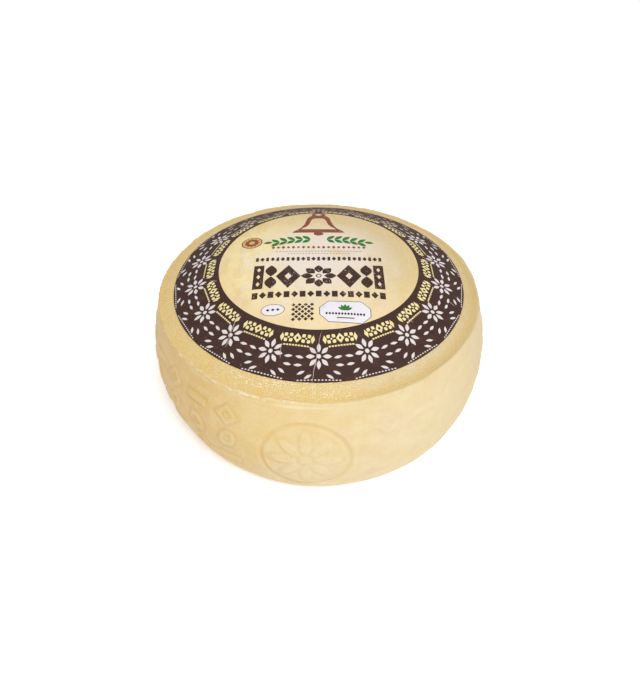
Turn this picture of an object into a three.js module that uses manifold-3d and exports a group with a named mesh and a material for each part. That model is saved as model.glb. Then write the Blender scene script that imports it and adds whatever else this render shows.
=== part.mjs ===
// A whole wheel of pressed cow's-milk cheese lying flat, with a round paper label on its domed top.
// Millimetres, +Z up. The origin is the middle of the flat base and the front faces -Y.
//
// The wheel is a lathe turned a little out of round, as a cheese settles on its shelf. The marks
// that the mould band presses into its side are cut and raised from it: each mark is a prism that
// reaches through the side and is trimmed by a slightly thinner or fatter copy of the wheel.

import * as THREE from 'three';
import { mergeVertices } from 'three/addons/utils/BufferGeometryUtils.js';
import Module from 'manifold-3d';

const wasm = await Module();
wasm.setup();

// ---- driving dimensions ----

// Profile of the wheel, from the shelf up
const BASE_RADIUS = 142;
const LOWER_CREASE = { radius: 161.6, height: 7 };
const UPPER_CREASE = { radius: 157.8, height: 111.2 };
const HEEL_BULGE = 10; // how far the side swells past a straight line between the creases
const HEEL_SAG = 0.88; // under 1 puts the widest place below half height
const LIP = { proud: 0.9, width: 2.4 }; // bead left where the mould band met the top cloth
const CROWN_HEIGHT = 144;
const CROWN_RIM = { run: 78.3, slope: 0.343 }; // first handle of the crown's curve, from the crease
const CROWN_FLAT = 106.7; // second handle: how far the level middle reaches out

// Out of round: shares of the radius, each for a wave round the wheel, from the front
const OVAL = { cos2: 0.0141, sin2: 0.0028, cos3: 0.0038, sin3: -0.0026 };

// Marks on the side. Angles are degrees from the front, heights are shares of the way up from
// the lower crease to the upper one.
const MARK_DEPTH = 0.9;
const MEDALLION = { count: 3, angle: -4, share: 0.46, radius: 39.5, line: 3 };
const DAISY = { petals: 8, inner: 8, length: 21, width: 9, eye: 5 };
const COLUMN = { perGap: 7, pitch: 12, shares: [0.25, 0.5, 0.75] };
const MOTIF = { width: 22, height: 20, bar: 7, leafTilt: 30 };

// Paper label
const LABEL = { radius: 140.8, right: 0.5, back: 0.2, thickness: 0.4, gap: 0.3 };

// Fineness of the facets. Each column of marks fits in one sector of the wheel.
const SECTORS = 60;
const HEEL_ROWS = 8;
const CROWN_ROWS = 9;
const LEAF_SIDES = 6;
const RING_SIDES = 28;

const CREAM = 0xf1dda6;
const PAPER = 0x6b4f46;

// ---- solids ----

const FULL_TURN = 2 * Math.PI;

function solidFrom(geometry) {
  const bare = geometry.clone();
  bare.deleteAttribute('normal');
  bare.deleteAttribute('uv');
  const merged = mergeVertices(bare, 1e-4);
  const index = merged.index.array;
  const faces = [];
  for (let i = 0; i < index.length; i += 3) {
    const [a, b, c] = [index[i], index[i + 1], index[i + 2]];
    // a lathe has flat triangles where its profile meets the axis
    if (a !== b && b !== c && c !== a) faces.push(a, b, c);
  }
  const mesh = new wasm.Mesh({
    numProp: 3,
    vertProperties: new Float32Array(merged.attributes.position.array),
    triVerts: new Uint32Array(faces),
  });
  return new wasm.Manifold(mesh);
}

function geometryFrom(solid) {
  const { vertProperties, triVerts } = solid.getMesh();
  const geometry = new THREE.BufferGeometry();
  geometry.setAttribute('position', new THREE.BufferAttribute(vertProperties, 3));
  geometry.setIndex(new THREE.BufferAttribute(triVerts, 1));
  geometry.computeVertexNormals();
  return geometry;
}

function joined(solids) {
  return solids.reduce((whole, solid) => whole.add(solid));
}

// ---- the wheel ----

function heelPoint(share, growth) {
  const straight = THREE.MathUtils.lerp(LOWER_CREASE.radius, UPPER_CREASE.radius, share);
  const bulge = HEEL_BULGE * Math.sin(Math.PI * share ** HEEL_SAG);
  const height = THREE.MathUtils.lerp(LOWER_CREASE.height, UPPER_CREASE.height, share);
  return new THREE.Vector2(straight + bulge + growth, height);
}

function lipPoints(growth) {
  const { radius, height } = UPPER_CREASE;
  return [
    new THREE.Vector2(radius + LIP.proud + growth, height),
    new THREE.Vector2(radius - LIP.width / 2 + growth, height + LIP.proud),
  ];
}

function crownPoints() {
  const { radius, height } = UPPER_CREASE;
  const crown = new THREE.CubicBezierCurve(
    new THREE.Vector2(radius - LIP.width, height + LIP.width * CROWN_RIM.slope),
    new THREE.Vector2(radius - CROWN_RIM.run, height + CROWN_RIM.run * CROWN_RIM.slope),
    new THREE.Vector2(CROWN_FLAT, CROWN_HEIGHT),
    new THREE.Vector2(0, CROWN_HEIGHT),
  );
  return crown.getPoints(CROWN_ROWS);
}

function profile(growth) {
  const points = [new THREE.Vector2(0, 0), new THREE.Vector2(BASE_RADIUS, 0)];
  for (let row = 0; row < HEEL_ROWS; row += 1) {
    points.push(heelPoint(row / HEEL_ROWS, growth));
  }
  // the last row stops just under the lip, so that the lip stands out from the side
  points.push(heelPoint(1 - LIP.width / (UPPER_CREASE.height - LOWER_CREASE.height), growth));
  points.push(...lipPoints(growth), ...crownPoints());
  return points;
}

function outOfRound(angle) {
  return (
    1 +
    OVAL.cos2 * Math.cos(2 * angle) +
    OVAL.sin2 * Math.sin(2 * angle) +
    OVAL.cos3 * Math.cos(3 * angle) +
    OVAL.sin3 * Math.sin(3 * angle)
  );
}

// The bare wheel, with its side moved out by growth
function wheel(growth = 0) {
  const firstEdge = THREE.MathUtils.degToRad(MEDALLION.angle) + Math.PI / SECTORS;
  const turned = new THREE.LatheGeometry(profile(growth), SECTORS, firstEdge);
  turned.rotateX(Math.PI / 2);
  const position = turned.attributes.position;
  for (let i = 0; i < position.count; i += 1) {
    const x = position.getX(i);
    const y = position.getY(i);
    const factor = outOfRound(Math.atan2(x, -y));
    position.setXY(i, x * factor, y * factor);
  }
  return solidFrom(turned);
}

// ---- marks on the side ----

function ellipsePoints(halfWidth, halfHeight, sides) {
  const points = [];
  for (let i = 0; i < sides; i += 1) {
    const turn = (i / sides) * FULL_TURN;
    points.push(new THREE.Vector2(halfWidth * Math.cos(turn), halfHeight * Math.sin(turn)));
  }
  return points;
}

// An outline moved in its own plane: turned about its middle, then shifted
function placed(points, turn, right, up) {
  const middle = new THREE.Vector2();
  const shift = new THREE.Vector2(right, up);
  return points.map((point) => point.clone().rotateAround(middle, turn).add(shift));
}

// A prism through the side of the wheel, its outline facing outwards at an angle, at a height
// share. It begins well inside the wheel and ends well outside it.
function sidePrism(outline, degrees, share) {
  const start = BASE_RADIUS - HEEL_BULGE;
  const depth = UPPER_CREASE.radius - start + 5 * HEEL_BULGE;
  const prism = new THREE.ExtrudeGeometry(outline, { depth, bevelEnabled: false });
  const height = THREE.MathUtils.lerp(LOWER_CREASE.height, UPPER_CREASE.height, share);
  prism.translate(0, height, start);
  prism.rotateX(Math.PI / 2);
  prism.rotateZ(THREE.MathUtils.degToRad(degrees));
  return solidFrom(prism);
}

function medallionRing(degrees) {
  const { radius, line } = MEDALLION;
  const ring = new THREE.Shape(ellipsePoints(radius, radius, RING_SIDES));
  const inside = radius - line;
  ring.holes.push(new THREE.Path(ellipsePoints(inside, inside, RING_SIDES).reverse()));
  return sidePrism(ring, degrees, MEDALLION.share);
}

function daisy(degrees) {
  const { petals, inner, length, width, eye } = DAISY;
  const outlines = [ellipsePoints(eye, eye, LEAF_SIDES)];
  const petal = ellipsePoints(width / 2, length / 2, LEAF_SIDES);
  for (let i = 0; i < petals; i += 1) {
    const turn = (i / petals) * FULL_TURN;
    const out = inner + length / 2;
    outlines.push(placed(petal, turn, -out * Math.sin(turn), out * Math.cos(turn)));
  }
  return outlines.map((points) => sidePrism(new THREE.Shape(points), degrees, MEDALLION.share));
}

// Three plain ornaments, one above the other: a bar, a tilted leaf and a lozenge
function column(degrees, flip) {
  const { width, height, bar, leafTilt } = MOTIF;
  const tilt = THREE.MathUtils.degToRad(flip ? leafTilt : -leafTilt);
  const lozenge = ellipsePoints(width / 2, height / 2, 4);
  const leaf = placed(ellipsePoints(width / 3, height / 2, LEAF_SIDES), tilt, 0, 0);
  const barOutline = [
    new THREE.Vector2(-width / 2, -bar / 2),
    new THREE.Vector2(width / 2, -bar / 2),
    new THREE.Vector2(width / 2, bar / 2),
    new THREE.Vector2(-width / 2, bar / 2),
  ];
  const upwards = flip ? [lozenge, leaf, barOutline] : [barOutline, leaf, lozenge];
  return upwards.map((points, i) => sidePrism(new THREE.Shape(points), degrees, COLUMN.shares[i]));
}

function markedWheel() {
  const sunk = [];
  const raised = [];
  const span = 360 / MEDALLION.count;
  for (let i = 0; i < MEDALLION.count; i += 1) {
    const degrees = MEDALLION.angle + i * span;
    sunk.push(medallionRing(degrees));
    raised.push(...daisy(degrees));
    const first = degrees + (span - (COLUMN.perGap - 1) * COLUMN.pitch) / 2;
    for (let j = 0; j < COLUMN.perGap; j += 1) {
      raised.push(...column(first + j * COLUMN.pitch, j % 2 === 1));
    }
  }
  const grooves = joined(sunk).subtract(wheel(-MARK_DEPTH));
  const reliefs = joined(raised).intersect(wheel(MARK_DEPTH));
  return wheel().add(reliefs).subtract(grooves);
}

// ---- the label ----

// The paper lies on the crown, so it is the slice between two lifted copies of the wheel
function label() {
  const { radius, right, back, thickness, gap } = LABEL;
  const round = new THREE.CylinderGeometry(radius, radius, CROWN_HEIGHT, SECTORS);
  round.rotateX(Math.PI / 2);
  round.translate(right, back, UPPER_CREASE.height + CROWN_HEIGHT / 2);
  const bare = wheel();
  const top = bare.translate([0, 0, gap + thickness]);
  return solidFrom(round).intersect(top).subtract(bare.translate([0, 0, gap]));
}

// ---- assembly ----

function piece(name, solid, color, roughness) {
  const material = new THREE.MeshStandardMaterial({ color, roughness, metalness: 0 });
  const mesh = new THREE.Mesh(geometryFrom(solid), material);
  mesh.name = name;
  return mesh;
}

const cheese = new THREE.Group();
cheese.add(piece('cheese_wheel', markedWheel(), CREAM, 0.5));
cheese.add(piece('label', label(), PAPER, 0.6));

// The uneven outline is centred over the origin
const middle = new THREE.Box3().setFromObject(cheese).getCenter(new THREE.Vector3());
cheese.position.set(-middle.x, -middle.y, 0);

export default cheese;
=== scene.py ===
# %% [markdown]
# # A wheel of pressed cheese with a paper label
#
# A wheel like this starts as curd in a band mould, with a cloth above and below. The band leaves a
# bulging side with its marks pressed in, the cloth leaves a grainy shoulder, and a thin lip of curd
# stays where the two met. When the wheel is dry, a round printed label is glued on its top.
#
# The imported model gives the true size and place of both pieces. This script dresses them: it turns
# a fine mesh for the cheese, lays a printed sheet on it, mixes the materials, and sets a plain
# studio around them.

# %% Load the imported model
import math

import bpy
import numpy as np
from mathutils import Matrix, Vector
from mathutils.geometry import delaunay_2d_cdt


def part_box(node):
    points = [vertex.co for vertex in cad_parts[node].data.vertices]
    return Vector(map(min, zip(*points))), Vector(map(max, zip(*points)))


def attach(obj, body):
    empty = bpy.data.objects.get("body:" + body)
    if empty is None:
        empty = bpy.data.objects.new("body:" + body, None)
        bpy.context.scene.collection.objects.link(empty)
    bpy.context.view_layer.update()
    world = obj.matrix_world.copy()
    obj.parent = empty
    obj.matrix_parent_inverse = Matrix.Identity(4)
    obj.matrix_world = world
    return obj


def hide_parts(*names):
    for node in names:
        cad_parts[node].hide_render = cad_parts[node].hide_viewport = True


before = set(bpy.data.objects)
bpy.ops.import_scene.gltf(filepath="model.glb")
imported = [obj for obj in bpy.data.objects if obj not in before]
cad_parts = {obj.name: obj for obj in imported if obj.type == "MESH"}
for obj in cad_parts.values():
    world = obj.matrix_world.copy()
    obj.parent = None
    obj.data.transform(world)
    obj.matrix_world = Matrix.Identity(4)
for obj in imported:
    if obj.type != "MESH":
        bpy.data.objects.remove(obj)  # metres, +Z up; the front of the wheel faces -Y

MM = 0.001
FULL_TURN = 2 * math.pi
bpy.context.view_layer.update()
wheel_low, wheel_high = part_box("cheese_wheel")
label_low, label_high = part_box("label")
label_middle = (label_low + label_high) / 2
LABEL_RADIUS = (label_high.x - label_low.x) / 2
print("wheel", [round(v / MM, 1) for v in wheel_high - wheel_low], "mm")
print("label radius", round(LABEL_RADIUS / MM, 1), "mm")

# %% [markdown]
# ## The profile of the wheel
#
# Half a wheel's outline, turned round the upright axis, gives the whole form. It could be a curve
# object with a Screw modifier. Here it is worked out with numpy instead, because every point is
# then known by its angle and by its distance along the outline, and all the fine relief can be
# written as functions of those two numbers. The driving sizes are those of the solid.

# %% The driving sizes of the profile
BASE_RADIUS = 142 * MM
FOOT_HANDLE = (156 * MM, 0.8 * MM)
LOWER_CREASE = Vector((161.6 * MM, 7 * MM))
UPPER_CREASE = Vector((157.8 * MM, 111.2 * MM))
HEEL_BULGE = 10 * MM
HEEL_SAG = 0.88
CROWN_HEIGHT = wheel_high.z
CROWN_RIM_RUN = 78.3 * MM
CROWN_RIM_SLOPE = 0.343
CROWN_FLAT = 106.7 * MM
OVAL = {"cos2": 0.0141, "sin2": 0.0028, "cos3": 0.0038, "sin3": -0.0026}
LABEL_OFFSET = Vector((0.5 * MM, 0.2 * MM, 0))
axis_foot = Vector((label_middle.x, label_middle.y, 0)) - LABEL_OFFSET
print("the lathe axis stands at", [round(v / MM, 2) for v in axis_foot], "mm")

# %% The outline as points
FOOT_POINTS = 40
HEEL_POINTS = 400
CROWN_POINTS = 400


def bezier(handles, count):
    """A curve of any degree that starts at its first handle and ends at its last."""
    handles = [np.array(p, float) for p in handles]
    t = np.linspace(0, 1, count)[:, None]
    last = len(handles) - 1
    return sum(math.comb(last, i) * (1 - t) ** (last - i) * t**i * p for i, p in enumerate(handles))


def heel_curve(count):
    """The side, from the lower crease to the upper one, swollen by its bulge."""
    share = np.linspace(0, 1, count)
    straight = LOWER_CREASE.x + (UPPER_CREASE.x - LOWER_CREASE.x) * share
    radius = straight + HEEL_BULGE * np.sin(np.pi * share**HEEL_SAG)
    height = LOWER_CREASE.y + (UPPER_CREASE.y - LOWER_CREASE.y) * share
    return np.stack([radius, height], 1)


rim = (UPPER_CREASE.x - CROWN_RIM_RUN, UPPER_CREASE.y + CROWN_RIM_RUN * CROWN_RIM_SLOPE)
foot_curve = bezier([(BASE_RADIUS, 0), FOOT_HANDLE, LOWER_CREASE], FOOT_POINTS)
crown_handles = [UPPER_CREASE, rim, (CROWN_FLAT, CROWN_HEIGHT), (0, CROWN_HEIGHT)]
crown_curve = bezier(crown_handles, CROWN_POINTS)
outline = np.concatenate([foot_curve[:-1], heel_curve(HEEL_POINTS)[:-1], crown_curve])
print("the outline has", len(outline), "points")


# %% Out of round, and the height of the crown
def out_of_round(angle):
    """The share of the radius that the wheel has at an angle from the front."""
    twofold = OVAL["cos2"] * np.cos(2 * angle) + OVAL["sin2"] * np.sin(2 * angle)
    threefold = OVAL["cos3"] * np.cos(3 * angle) + OVAL["sin3"] * np.sin(3 * angle)
    return 1 + twofold + threefold


def crown_height(x, y):
    """The height of the bare crown over a place given from the lathe axis."""
    radius = np.hypot(x, y) / out_of_round(np.arctan2(x, -y))
    return np.interp(radius, crown_curve[::-1, 0], crown_curve[::-1, 1])


shares = out_of_round(np.linspace(0, FULL_TURN, 360))
print("the radius runs from", round(shares.min(), 3), "to", round(shares.max(), 3), "of its mean")

# %% [markdown]
# ## Unevenness
#
# Curd never fills a mould evenly. A smooth noise that closes on itself round the wheel bends the
# surface by a few tenths of a millimetre. Blender's noise textures could do it through a Displace
# modifier, but a small lattice of seeded random heights, blended smoothly, works on whole arrays at
# once and gives the same wheel on every run.

# %% Smooth seeded noise
LATTICE = 64


def ripple(across, along, seed, period=LATTICE):
    """Noise between -1 and 1 over two arrays of cell numbers. Across, it closes after a period."""
    heights = np.random.default_rng(seed).uniform(-1, 1, (LATTICE, LATTICE))
    column = np.floor(across).astype(int)
    row = np.floor(along).astype(int)
    u = soft_step(across - column, 0, 1)
    v = soft_step(along - row, 0, 1)

    def corner(i, j):
        return heights[(row + j) % LATTICE, (column + i) % period]

    low = corner(0, 0) * (1 - u) + corner(1, 0) * u
    high = corner(0, 1) * (1 - u) + corner(1, 1) * u
    return low * (1 - v) + high * v


def soft_step(value, low, high):
    """0 below low, 1 above high, and a smooth rise between them."""
    share = np.clip((value - low) / (high - low), 0, 1)
    return share * share * (3 - 2 * share)


def bell_curve(value, middle, width):
    return np.exp(-(((value - middle) / width) ** 2))


# %% [markdown]
# ## The grid of the wheel
#
# The wheel's mesh is a grid: columns round the axis, rows along the profile. Rows lie close
# together where the light picks out detail, which is on the side, the lip and the shoulder, and far
# apart at the foot and under the label, where little or nothing shows.

# %% Rows and columns
COLUMNS = 820
HEEL_STEP = 1.45 * MM
LIP_STEP = 0.65 * MM
SHOULDER_STEP = 1.0 * MM
FOOT_ROWS = 5
COVERED_ROWS = 11
LIP_REACH = 4 * MM
SHOULDER_INSIDE = LABEL_RADIUS - 4 * MM

steps = np.hypot(*np.diff(outline, axis=0).T)
distance_along = np.concatenate([[0], np.cumsum(steps)])
tangent = np.gradient(outline, distance_along, axis=0)
tangent /= np.linalg.norm(tangent, axis=1)[:, None]
at_lower = distance_along[FOOT_POINTS - 1]
at_crease = distance_along[FOOT_POINTS + HEEL_POINTS - 2]
on_crown = slice(-CROWN_POINTS, None)
at_label = np.interp(-SHOULDER_INSIDE, -outline[on_crown, 0], distance_along[on_crown])
at_top = distance_along[-1]

foot_rows = np.linspace(0, at_lower, FOOT_ROWS, endpoint=False)
heel_rows = np.arange(at_lower, at_crease - LIP_REACH, HEEL_STEP)
lip_rows = np.arange(at_crease - LIP_REACH, at_crease + LIP_REACH, LIP_STEP)
shoulder_rows = np.arange(at_crease + LIP_REACH, at_label, SHOULDER_STEP)
covered_rows = np.linspace(at_label, at_top, COVERED_ROWS, endpoint=False)
rows = np.concatenate([foot_rows, heel_rows, lip_rows, shoulder_rows, covered_rows])
print(len(rows), "rows of", COLUMNS, "make", 2 * len(rows) * COLUMNS, "triangles")

# %% [markdown]
# Two arrays of the grid's shape give each point's angle and its distance along the outline, and
# everything else is read from those: radius, height and the direction outwards. Noise laid over them
# has to close on itself at the front, so it takes either fewer cells than the lattice has and wraps
# after them, or a whole multiple of the lattice.

# %% Every point's angle, distance along the outline, and direction outwards
angle, along = np.meshgrid(np.arange(COLUMNS) * FULL_TURN / COLUMNS, rows)
radius = np.interp(along, distance_along, outline[:, 0])
height = np.interp(along, distance_along, outline[:, 1])
normal_out = np.interp(along, distance_along, tangent[:, 1])
normal_up = -np.interp(along, distance_along, tangent[:, 0])
from_crease = along - at_crease
on_heel = soft_step(along, at_lower, at_lower + 6 * MM) * soft_step(-from_crease, 0, 3 * MM)


def round_noise(cells, cell_along, seed):
    """Noise with a number of cells round the wheel, and cells of a length along the outline."""
    return ripple(angle / FULL_TURN * cells, along / cell_along, seed, min(cells, LATTICE))


def round_ripple(cells, seed):
    """Noise that changes only round the wheel."""
    return ripple(angle / FULL_TURN * cells, 0 * along, seed, min(cells, LATTICE))


def round_the_wheel(*knots):
    """A value that runs round the wheel through (degrees from the front, value) pairs."""
    degrees, values = zip(*sorted(knots))
    return np.interp(np.degrees(angle), degrees, values, period=360)


print("the grid has", angle.size, "points")

# %% [markdown]
# ## Marks on the side
#
# The band mould carries ornaments that press into the young cheese: here a plain ring with a daisy,
# three times round the wheel, and columns of bars, leaves and lozenges between. They could be cut
# with Boolean modifiers, as in the solid, but a cheese's marks have soft edges. So each mark is a
# distance: how far a point lies inside the mark's edge. A soft step over that distance lifts or
# lowers the surface, and the step's width is the roundness of the edge. A large mark took the curd
# only along its outline and at its core, so between the two its distance is folded back.

# %% The driving sizes of the marks
MARK_DEPTH = 1.4 * MM
EDGE = 0.9 * MM
TRENCH = 0.55 * MM
RIDGE = 3.6 * MM
CORE_AT = 5.4 * MM
MEDALLION = {"count": 3, "angle": -4, "share": 0.46, "radius": 39.5 * MM, "line": 3 * MM}
DAISY = {"petals": 8, "inner": 8 * MM, "length": 21 * MM, "width": 9 * MM, "eye": 5 * MM}
COLUMN = {"per_gap": 7, "pitch": 12, "shares": (0.25, 0.5, 0.75)}
MOTIF = {"width": 22 * MM, "height": 20 * MM, "bar": 7 * MM, "leaf_tilt": math.radians(30)}
print(MEDALLION["count"] * COLUMN["per_gap"], "columns of marks between", MEDALLION["count"], "rings")


# %% How far a point lies inside an ellipse, a lozenge or a bar
def facing(degrees, share):
    """Coordinates in the plane that faces outwards at an angle: rightwards and upwards.

    Points more than a radian round the wheel count as a metre off.
    """
    turn = (angle - math.radians(degrees) + math.pi) % FULL_TURN - math.pi
    right = np.where(np.abs(turn) < 1, radius * np.sin(turn), 1.0)
    middle = LOWER_CREASE.y + (UPPER_CREASE.y - LOWER_CREASE.y) * share
    return right, height - middle


def inside_ellipse(x, y, half_width, half_height):
    return (1 - np.hypot(x / half_width, y / half_height)) * min(half_width, half_height)


def inside_lozenge(x, y, half_width, half_height):
    slope = half_width * half_height / math.hypot(half_width, half_height)
    return (1 - np.abs(x) / half_width - np.abs(y) / half_height) * slope


def inside_bar(x, y, half_width, half_height):
    return np.minimum(half_width - np.abs(x), half_height - np.abs(y))


def turned(x, y, turn):
    return x * math.cos(turn) + y * math.sin(turn), y * math.cos(turn) - x * math.sin(turn)


# %% How far a point lies inside a daisy or a column's motif
def ridged(inside):
    """Keeps a mark's outline and its core, and folds what lies between."""
    outline_ridge = np.minimum(inside, RIDGE - inside)
    return np.maximum(outline_ridge, inside - CORE_AT)


def inside_daisy(x, y):
    inside = DAISY["eye"] - np.hypot(x, y)
    for i in range(DAISY["petals"]):
        u, v = turned(x, y, i * FULL_TURN / DAISY["petals"])
        out = DAISY["inner"] + DAISY["length"] / 2
        petal = inside_ellipse(u, v - out, DAISY["width"] / 2, DAISY["length"] / 2)
        inside = np.maximum(inside, petal)
    return inside


def inside_motif(kind, x, y, flip):
    half_width = MOTIF["width"] / 2
    half_height = MOTIF["height"] / 2
    if kind == "lozenge":
        return inside_lozenge(x, y, half_width, half_height)
    if kind == "bar":
        return inside_bar(x, y, half_width, MOTIF["bar"] / 2)
    u, v = turned(x, y, MOTIF["leaf_tilt"] * (1 if flip else -1))
    return inside_ellipse(u, v, MOTIF["width"] / 3, half_height)


# %% Where each mark stands
raised = np.full_like(angle, -1.0)
sunk = np.full_like(angle, -1.0)
span = 360 / MEDALLION["count"]
for i in range(MEDALLION["count"]):
    middle = MEDALLION["angle"] + i * span
    x, y = facing(middle, MEDALLION["share"])
    half_line = MEDALLION["line"] / 2
    on_line = half_line - np.abs(np.hypot(x, y) - (MEDALLION["radius"] - half_line))
    sunk = np.maximum(sunk, on_line)
    raised = np.maximum(raised, inside_daisy(x, y))
    first = middle + (span - (COLUMN["per_gap"] - 1) * COLUMN["pitch"]) / 2
    for j in range(COLUMN["per_gap"]):
        kinds = ("lozenge", "leaf", "bar") if j % 2 else ("bar", "leaf", "lozenge")
        for kind, share in zip(kinds, COLUMN["shares"]):
            x, y = facing(first + j * COLUMN["pitch"], share)
            motif = inside_motif(kind, x, y, j % 2)
            raised = np.maximum(raised, motif if kind == "bar" else ridged(motif))
print("marks cover", round(100 * float(np.mean(raised > 0))), "per cent of the grid")

# %% [markdown]
# The marks aren't equally deep. The wheel was pressed harder on its left than on its right, and each
# mark took unevenly. Round what stands proud the curd sank into a fine trench, and beside the sunk
# ring it rose a little. Both are bell curves over the same distances, which costs no more points.

# %% Their relief
mark_strength = round_the_wheel(
    (-110, 0.8), (-75, 0.55), (-52, 0.8), (-30, 1), (5, 0.7), (20, 0.4), (75, 0.35), (110, 0.8)
)
pressed = mark_strength * (0.75 + 0.25 * round_noise(32, 30 * MM, 11)) * on_heel
proud = soft_step(raised, -EDGE, EDGE) * pressed
groove = soft_step(sunk, -EDGE, EDGE) * on_heel * (0.35 + 0.65 * mark_strength)
trench = bell_curve(raised, -1.7 * MM, 1.2 * MM) * pressed
groove_rim = bell_curve(sunk, -2.2 * MM, 1.3 * MM) * on_heel
marks = MARK_DEPTH * (proud - groove + 0.3 * groove_rim) - TRENCH * trench
print("marks reach from", round(marks.min() / MM, 2), "to", round(marks.max() / MM, 2), "mm")

# %% [markdown]
# ## Lip, shoulder and hollow
#
# Where the band met the cloth, curd squeezed into the gap and left a thin lip. It is smooth and
# clear on one side of the wheel and crumbled on the other. Just inside it the surface dips, and
# from there to the label the cloth has left its grain. The lip and the dip are bell curves over the
# distance from the crease, and noise makes both of them wander.

# %% The lip, and the dip inside it
LIP_PROUD = 1.2 * MM
LIP_WIDTH = 1.1 * MM
DIP_DEPTH = 0.8 * MM
DIP_INSIDE = 5 * MM
DIP_WIDTH = 3.4 * MM

crease_wander = round_the_wheel(
    (-50, 0), (-25, 0.5), (-8, 1.6), (8, 1.2), (40, 0.7), (110, 0.7), (160, 0)
)
past_crease = from_crease - crease_wander * MM
on_shoulder = soft_step(past_crease, 0, 2 * MM)
crumbled = round_the_wheel(
    (-130, 0.9), (-20, 0.9), (10, 0.3), (40, 0.05), (110, 0.1), (180, 0.6)
)
wander = 0.9 * MM * round_ripple(64, 20)
wander = wander + 0.8 * MM * crumbled * round_ripple(320, 21)
lip_strength = 0.7 + 0.25 * round_ripple(16, 22)
broken = soft_step(round_ripple(192, 23), -0.9, 0.4)
lip_strength = lip_strength * (1 - crumbled * 0.6 * (1 - broken))
lip = bell_curve(past_crease, wander, LIP_WIDTH) * lip_strength
dip_strength = round_the_wheel(
    (-120, 0.35), (-20, 0.35), (15, 0.8), (50, 1), (110, 0.9), (160, 0.5)
)
dip_strength = dip_strength * (0.9 + 0.25 * round_ripple(16, 24))
dip = bell_curve(past_crease, DIP_INSIDE + wander, DIP_WIDTH) * dip_strength
hollow = bell_curve(past_crease, 4 * MM + wander, 6.5 * MM) * dip_strength * on_shoulder
print("the lip varies between", round(lip_strength.min(), 2), "and", round(lip_strength.max(), 2))

# %% The crumbs, and the painted highlights below the crease and along the lip
near_crease = bell_curve(past_crease, 0, 5 * MM)
# painted highlight: a pale band just below the crease
highlight_band = round_the_wheel(
    (-100, 0.2), (-55, 0.55), (-30, 0.6), (-12, 0.8), (8, 0.75), (30, 0.35), (60, 0.15), (100, 0.1)
)
band_wander = 1.2 * MM * round_ripple(32, 26)
highlight_band = highlight_band * bell_curve(past_crease, -3.6 * MM + band_wander, 2 * MM)
highlight_band = highlight_band * (0.6 + 0.4 * round_noise(48, 6 * MM, 27))
crumbs = soft_step(round_noise(320, 2.6 * MM, 25), 0.25, 0.8) * crumbled * near_crease
# partly a painted highlight on the lip, partly the pale colour of the crumbs
lip_highlight_and_crumbs = round_the_wheel(
    (-120, 0.35), (-60, 0.5), (-42, 0.7), (-24, 0.95), (0, 0.8),
    (15, 0.4), (45, 0.3), (75, 0.6), (110, 0.3),
)
lip_highlight_and_crumbs = lip_highlight_and_crumbs * (lip * (0.5 + 0.9 * crumbled) + crumbs)
print("crumbs cover", round(100 * float(np.mean(crumbs > 0.1)), 1), "per cent of the grid")

# %% [markdown]
# ## All relief together
#
# The parts of the relief are heights over the smooth outline, so they simply add up, and each point
# moves by its sum along the outline's normal. The lower side also draws in a little at the front
# left, as an aged wheel does where it sagged. Under the label the surface stays smooth, so that
# nothing pokes through the paper.

# %% Add up the relief
TUCK = 2.2 * MM
broad = 0.5 * MM * round_noise(16, 45 * MM, 31) + 0.25 * MM * round_noise(64, 18 * MM, 32)
fine = 0.08 * MM * round_noise(192, 5 * MM, 33)
cloth = 0.15 * MM * on_shoulder * round_noise(384, 2.4 * MM, 34)
under_label = soft_step(from_crease, 6 * MM, 15 * MM)
pits = soft_step(round_noise(192, 4 * MM, 35), 0.88, 1.0) * on_heel
keep_flat = soft_step(along, 0, at_lower)
tucked = round_the_wheel((-80, 0), (-62, 0.8), (-46, 1), (-28, 0.7), (-8, 0.2), (10, 0.3), (40, 0))
tucked = TUCK * tucked * (1 - soft_step(height, 14 * MM, 84 * MM)) * keep_flat
relief = LIP_PROUD * lip - DIP_DEPTH * dip + marks + 0.5 * MM * crumbs - tucked
relief = relief + keep_flat * (1 - under_label) * (broad + fine) + cloth - 0.3 * MM * pits
print("relief reaches from", round(relief.min() / MM, 2), "to", round(relief.max() / MM, 2), "mm")

# %% [markdown]
# ## Where the rind differs
#
# No wheel ripens evenly. This one is amber on its left and sunny at the front left under the
# shoulder, and towards its right the side and the shoulder get a painted shade. The cloth left beads
# at the front left, whose tops get painted glints, and a frosted weave at the front right, and the
# back of the shoulder is golden. A painted mask could say where, but a few values round the wheel
# are enough, and they are easy to change.

# %% Warmer and sunnier places, and painted shade towards the right
warmth = round_the_wheel(
    (-180, 0.6), (-120, 0.85), (-75, 1), (-42, 1), (-30, 0.75),
    (-16, 0.4), (2, 0.1), (30, 0), (125, 0.35),
)
warmth = np.clip(warmth + 0.15 * round_noise(16, 40 * MM, 41), 0, 1)
sunny = round_the_wheel((-52, 0), (-36, 0.4), (-22, 0.95), (-6, 0.85), (8, 0.3), (18, 0))
sunny = sunny * soft_step(height, 20 * MM, 95 * MM) * (0.85 + 0.15 * round_noise(16, 30 * MM, 43))
# painted shade: darkens the side, and then the shoulder, towards the right of the wheel
shaded_side = round_the_wheel(
    (28, 0), (45, 0.25), (60, 0.65), (75, 1), (105, 1), (140, 0.4), (180, 0.2)
)
shaded_shoulder = round_the_wheel(
    (6, 0), (24, 0.65), (45, 0.85), (75, 1), (105, 1), (140, 0.5), (180, 0.2)
)
right_shade = shaded_side * (1 - on_shoulder) + shaded_shoulder * on_shoulder
print("warmth has a mean of", round(float(warmth.mean()), 2))
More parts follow.
